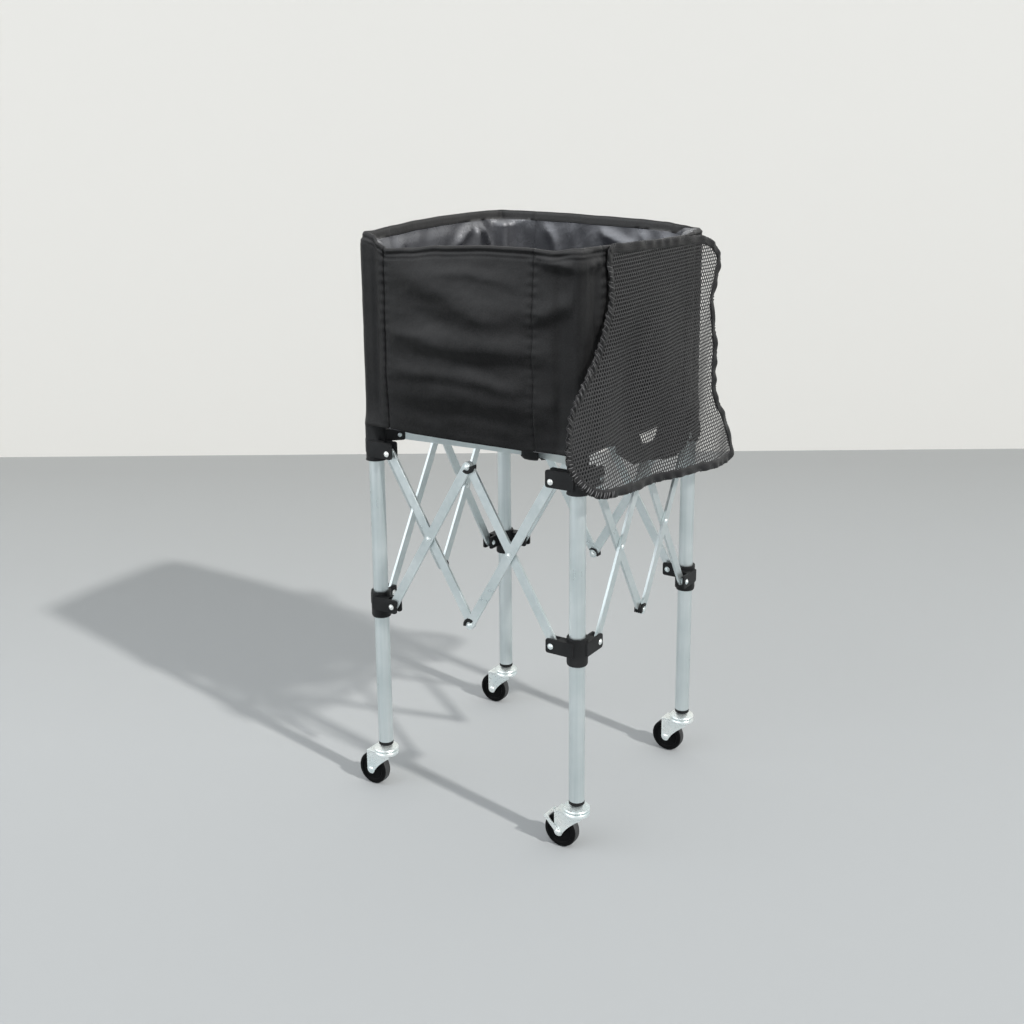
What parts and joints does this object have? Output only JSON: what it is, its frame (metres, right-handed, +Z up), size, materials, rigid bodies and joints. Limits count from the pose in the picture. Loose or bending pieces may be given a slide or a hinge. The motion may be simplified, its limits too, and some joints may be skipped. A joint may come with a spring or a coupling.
{
  "type": "ball cart",
  "caption": "Folding wheeled ball cart: scissor frame of tube legs on casters, square black cloth bag on top and a net cover hanging from one side.",
  "frame": {"origin": "middle of the bounding box, on the floor under the wheels", "axes": "+Z up; +X towards the side where the net cover hangs; -Y towards the plain front of the bag"},
  "size_m": [0.4356, 0.4908, 0.8396],
  "materials": {
    "silver_tube": "satin silver-grey coating",
    "zinc_plate": "bright zinc plating",
    "black_plastic": "moulded, satin",
    "black_rubber": "smooth tread",
    "black_cloth": "coated woven polyester",
    "black_net": "knitted net with bound edge"
  },
  "bodies": {
    "hub": {"centre_hub": "black_plastic"},
    "left_brace": {"left_brace": "silver_tube", "left_floor_quarter": "black_cloth"},
    "left_leg": {"left_leg_tube": "silver_tube", "left_foot_plug": "black_plastic", "left_upper_bracket": "black_plastic", "left_bag_sleeve": "black_cloth", "left_bag_wall": "black_cloth"},
    "left_slider": {"left_slider": "black_plastic"},
    "left_upper_bar_a": {"left_upper_bar_a": "silver_tube"},
    "left_slider_bar_a": {"left_slider_bar_a": "silver_tube"},
    "left_upper_bar_b": {"left_upper_bar_b": "silver_tube"},
    "left_slider_bar_b": {"left_slider_bar_b": "silver_tube"},
    "left_caster": {"left_caster_fork": "zinc_plate"},
    "left_wheel": {"left_wheel": "black_rubber"},
    "front_brace": {"front_brace": "silver_tube", "front_floor_quarter": "black_cloth"},
    "front_leg": {"front_leg_tube": "silver_tube", "front_foot_plug": "black_plastic", "front_upper_bracket": "black_plastic", "front_bag_sleeve": "black_cloth", "front_bag_wall": "black_cloth"},
    "front_slider": {"front_slider": "black_plastic"},
    "front_upper_bar_a": {"front_upper_bar_a": "silver_tube"},
    "front_slider_bar_a": {"front_slider_bar_a": "silver_tube"},
    "front_upper_bar_b": {"front_upper_bar_b": "silver_tube"},
    "front_slider_bar_b": {"front_slider_bar_b": "silver_tube"},
    "front_caster": {"front_caster_fork": "zinc_plate"},
    "front_wheel": {"front_wheel": "black_rubber"},
    "right_brace": {"right_brace": "silver_tube", "right_floor_quarter": "black_cloth"},
    "right_leg": {"right_leg_tube": "silver_tube", "right_foot_plug": "black_plastic", "right_upper_bracket": "black_plastic", "right_bag_sleeve": "black_cloth", "right_bag_wall": "black_cloth"},
    "right_slider": {"right_slider": "black_plastic"},
    "right_upper_bar_a": {"right_upper_bar_a": "silver_tube"},
    "right_slider_bar_a": {"right_slider_bar_a": "silver_tube"},
    "right_upper_bar_b": {"right_upper_bar_b": "silver_tube"},
    "right_slider_bar_b": {"right_slider_bar_b": "silver_tube"},
    "right_caster": {"right_caster_fork": "zinc_plate"},
    "right_wheel": {"right_wheel": "black_rubber"},
    "back_brace": {"back_brace": "silver_tube", "back_floor_quarter": "black_cloth"},
    "back_leg": {"back_leg_tube": "silver_tube", "back_foot_plug": "black_plastic", "back_upper_bracket": "black_plastic", "back_bag_sleeve": "black_cloth", "back_bag_wall": "black_cloth"},
    "back_slider": {"back_slider": "black_plastic"},
    "back_upper_bar_a": {"back_upper_bar_a": "silver_tube"},
    "back_slider_bar_a": {"back_slider_bar_a": "silver_tube"},
    "back_upper_bar_b": {"back_upper_bar_b": "silver_tube"},
    "back_slider_bar_b": {"back_slider_bar_b": "silver_tube"},
    "back_caster": {"back_caster_fork": "zinc_plate"},
    "back_wheel": {"back_wheel": "black_rubber"},
    "brake_lever": {"brake_lever": "zinc_plate"},
    "net_cover": {"net_cover": "black_net"}
  },
  "joints": [
    {"name": "fold", "type": "hinge", "parent": "hub", "child": "left_brace", "pos_m": [-0.01397, 0.00256, 0.518], "axis": [0.7071, -0.7071, 0], "range_deg": [0, 94], "deforming": ["left_bag_wall", "left_floor_quarter", "front_bag_wall", "front_floor_quarter", "right_bag_wall", "right_floor_quarter", "back_bag_wall", "back_floor_quarter"]},
    {"name": "left_leg_pivot", "type": "hinge", "parent": "left_brace", "child": "left_leg", "pos_m": [-0.14541, -0.12888, 0.555], "axis": [0.7071, -0.7071, 0], "range_deg": [-94, 0]},
    {"name": "left_upper_pivot_a", "type": "hinge", "parent": "left_leg", "child": "left_upper_bar_a", "pos_m": [-0.13745, -0.16247, 0.535], "axis": [0, 1, 0], "range_deg": [0, 25.9]},
    {"name": "left_crossing_a", "type": "hinge", "parent": "left_upper_bar_a", "child": "left_slider_bar_a", "pos_m": [-0.0697, -0.16247, 0.4195], "axis": [0, 1, 0], "range_deg": [-51.8, 0]},
    {"name": "left_slider_pivot", "type": "hinge", "parent": "left_slider_bar_a", "child": "left_slider", "pos_m": [-0.13745, -0.16247, 0.304], "axis": [0, 1, 0], "range_deg": [0, 25.9]},
    {"name": "left_upper_pivot_b", "type": "hinge", "parent": "left_leg", "child": "left_upper_bar_b", "pos_m": [-0.179, -0.12092, 0.535], "axis": [-1, 0, 0], "range_deg": [0, 25.9]},
    {"name": "left_crossing_b", "type": "hinge", "parent": "left_upper_bar_b", "child": "left_slider_bar_b", "pos_m": [-0.179, -0.05317, 0.4195], "axis": [-1, 0, 0], "range_deg": [-51.8, 0]},
    {"name": "left_caster_swivel", "type": "hinge", "parent": "left_leg", "child": "left_caster", "pos_m": [-0.16945, -0.15292, 0.071], "axis": [0, 0, 1], "continuous": true},
    {"name": "left_wheel_spin", "type": "hinge", "parent": "left_caster", "child": "left_wheel", "pos_m": [-0.19275, -0.15292, 0.025], "axis": [0, 1, 0], "continuous": true},
    {"name": "front_brace_fold", "type": "hinge", "parent": "hub", "child": "front_brace", "pos_m": [0.01007, 0.00256, 0.518], "axis": [0.7071, 0.7071, 0], "range_deg": [0, 94]},
    {"name": "front_leg_pivot", "type": "hinge", "parent": "front_brace", "child": "front_leg", "pos_m": [0.14151, -0.12888, 0.555], "axis": [0.7071, 0.7071, 0], "range_deg": [-94, 0]},
    {"name": "front_upper_pivot_a", "type": "hinge", "parent": "front_leg", "child": "front_upper_bar_a", "pos_m": [0.1751, -0.12092, 0.535], "axis": [-1, 0, 0], "range_deg": [0, 25.9]},
    {"name": "front_crossing_a", "type": "hinge", "parent": "front_upper_bar_a", "child": "front_slider_bar_a", "pos_m": [0.1751, -0.05317, 0.4195], "axis": [-1, 0, 0], "range_deg": [-51.8, 0]},
    {"name": "front_slider_pivot", "type": "hinge", "parent": "front_slider_bar_a", "child": "front_slider", "pos_m": [0.1751, -0.12092, 0.304], "axis": [-1, 0, 0], "range_deg": [0, 25.9]},
    {"name": "front_upper_pivot_b", "type": "hinge", "parent": "front_leg", "child": "front_upper_bar_b", "pos_m": [0.13355, -0.16247, 0.535], "axis": [0, -1, 0], "range_deg": [0, 25.9]},
    {"name": "front_crossing_b", "type": "hinge", "parent": "front_upper_bar_b", "child": "front_slider_bar_b", "pos_m": [0.0658, -0.16247, 0.4195], "axis": [0, -1, 0], "range_deg": [-51.8, 0]},
    {"name": "front_caster_swivel", "type": "hinge", "parent": "front_leg", "child": "front_caster", "pos_m": [0.16555, -0.15292, 0.071], "axis": [0, 0, 1], "continuous": true},
    {"name": "front_wheel_spin", "type": "hinge", "parent": "front_caster", "child": "front_wheel", "pos_m": [0.14225, -0.15292, 0.025], "axis": [0, 1, 0], "continuous": true},
    {"name": "right_brace_fold", "type": "hinge", "parent": "hub", "child": "right_brace", "pos_m": [0.01007, 0.0266, 0.518], "axis": [-0.7071, 0.7071, 0], "range_deg": [0, 94]},
    {"name": "right_leg_pivot", "type": "hinge", "parent": "right_brace", "child": "right_leg", "pos_m": [0.14151, 0.15804, 0.555], "axis": [-0.7071, 0.7071, 0], "range_deg": [-94, 0]},
    {"name": "right_upper_pivot_a", "type": "hinge", "parent": "right_leg", "child": "right_upper_bar_a", "pos_m": [0.13355, 0.19163, 0.535], "axis": [0, -1, 0], "range_deg": [0, 25.9]},
    {"name": "right_crossing_a", "type": "hinge", "parent": "right_upper_bar_a", "child": "right_slider_bar_a", "pos_m": [0.0658, 0.19163, 0.4195], "axis": [0, -1, 0], "range_deg": [-51.8, 0]},
    {"name": "right_slider_pivot", "type": "hinge", "parent": "right_slider_bar_a", "child": "right_slider", "pos_m": [0.13355, 0.19163, 0.304], "axis": [0, -1, 0], "range_deg": [0, 25.9]},
    {"name": "right_upper_pivot_b", "type": "hinge", "parent": "right_leg", "child": "right_upper_bar_b", "pos_m": [0.1751, 0.15008, 0.535], "axis": [1, 0, 0], "range_deg": [0, 25.9]},
    {"name": "right_crossing_b", "type": "hinge", "parent": "right_upper_bar_b", "child": "right_slider_bar_b", "pos_m": [0.1751, 0.08233, 0.4195], "axis": [1, 0, 0], "range_deg": [-51.8, 0]},
    {"name": "right_caster_swivel", "type": "hinge", "parent": "right_leg", "child": "right_caster", "pos_m": [0.16555, 0.18208, 0.071], "axis": [0, 0, 1], "continuous": true},
    {"name": "right_wheel_spin", "type": "hinge", "parent": "right_caster", "child": "right_wheel", "pos_m": [0.14225, 0.18208, 0.025], "axis": [0, 1, 0], "continuous": true},
    {"name": "back_brace_fold", "type": "hinge", "parent": "hub", "child": "back_brace", "pos_m": [-0.01397, 0.0266, 0.518], "axis": [-0.7071, -0.7071, 0], "range_deg": [0, 94]},
    {"name": "back_leg_pivot", "type": "hinge", "parent": "back_brace", "child": "back_leg", "pos_m": [-0.14541, 0.15804, 0.555], "axis": [-0.7071, -0.7071, 0], "range_deg": [-94, 0]},
    {"name": "back_upper_pivot_a", "type": "hinge", "parent": "back_leg", "child": "back_upper_bar_a", "pos_m": [-0.179, 0.15008, 0.535], "axis": [1, 0, 0], "range_deg": [0, 25.9]},
    {"name": "back_crossing_a", "type": "hinge", "parent": "back_upper_bar_a", "child": "back_slider_bar_a", "pos_m": [-0.179, 0.08233, 0.4195], "axis": [1, 0, 0], "range_deg": [-51.8, 0]},
    {"name": "back_slider_pivot", "type": "hinge", "parent": "back_slider_bar_a", "child": "back_slider", "pos_m": [-0.179, 0.15008, 0.304], "axis": [1, 0, 0], "range_deg": [0, 25.9]},
    {"name": "back_upper_pivot_b", "type": "hinge", "parent": "back_leg", "child": "back_upper_bar_b", "pos_m": [-0.13745, 0.19163, 0.535], "axis": [0, 1, 0], "range_deg": [0, 25.9]},
    {"name": "back_crossing_b", "type": "hinge", "parent": "back_upper_bar_b", "child": "back_slider_bar_b", "pos_m": [-0.0697, 0.19163, 0.4195], "axis": [0, 1, 0], "range_deg": [-51.8, 0]},
    {"name": "back_caster_swivel", "type": "hinge", "parent": "back_leg", "child": "back_caster", "pos_m": [-0.16945, 0.18208, 0.071], "axis": [0, 0, 1], "continuous": true},
    {"name": "back_wheel_spin", "type": "hinge", "parent": "back_caster", "child": "back_wheel", "pos_m": [-0.19275, 0.18208, 0.025], "axis": [0, 1, 0], "continuous": true},
    {"name": "brake", "type": "hinge", "parent": "front_caster", "child": "brake_lever", "pos_m": [0.14225, -0.15292, 0.025], "axis": [0, -1, 0], "range_deg": [0, 15]},
    {"name": "cover", "type": "hinge", "parent": "front_leg", "child": "net_cover", "pos_m": [0.18355, 0.01458, 0.8406], "axis": [0, -1, 0], "range_deg": [0, 264]}
  ],
  "couplings": [
    {"joint": "left_leg_pivot", "follows": "fold", "ratio": -1},
    {"joint": "left_upper_pivot_a", "follows": "fold", "ratio": 0.27552},
    {"joint": "left_crossing_a", "follows": "fold", "ratio": -0.55105},
    {"joint": "left_slider_pivot", "follows": "fold", "ratio": 0.27552},
    {"joint": "left_upper_pivot_b", "follows": "fold", "ratio": 0.27552},
    {"joint": "left_crossing_b", "follows": "fold", "ratio": -0.55105},
    {"joint": "front_brace_fold", "follows": "fold", "ratio": 1},
    {"joint": "front_leg_pivot", "follows": "fold", "ratio": -1},
    {"joint": "front_upper_pivot_a", "follows": "fold", "ratio": 0.27552},
    {"joint": "front_crossing_a", "follows": "fold", "ratio": -0.55105},
    {"joint": "front_slider_pivot", "follows": "fold", "ratio": 0.27552},
    {"joint": "front_upper_pivot_b", "follows": "fold", "ratio": 0.27552},
    {"joint": "front_crossing_b", "follows": "fold", "ratio": -0.55105},
    {"joint": "right_brace_fold", "follows": "fold", "ratio": 1},
    {"joint": "right_leg_pivot", "follows": "fold", "ratio": -1},
    {"joint": "right_upper_pivot_a", "follows": "fold", "ratio": 0.27552},
    {"joint": "right_crossing_a", "follows": "fold", "ratio": -0.55105},
    {"joint": "right_slider_pivot", "follows": "fold", "ratio": 0.27552},
    {"joint": "right_upper_pivot_b", "follows": "fold", "ratio": 0.27552},
    {"joint": "right_crossing_b", "follows": "fold", "ratio": -0.55105},
    {"joint": "back_brace_fold", "follows": "fold", "ratio": 1},
    {"joint": "back_leg_pivot", "follows": "fold", "ratio": -1},
    {"joint": "back_upper_pivot_a", "follows": "fold", "ratio": 0.27552},
    {"joint": "back_crossing_a", "follows": "fold", "ratio": -0.55105},
    {"joint": "back_slider_pivot", "follows": "fold", "ratio": 0.27552},
    {"joint": "back_upper_pivot_b", "follows": "fold", "ratio": 0.27552},
    {"joint": "back_crossing_b", "follows": "fold", "ratio": -0.55105}
  ]
}
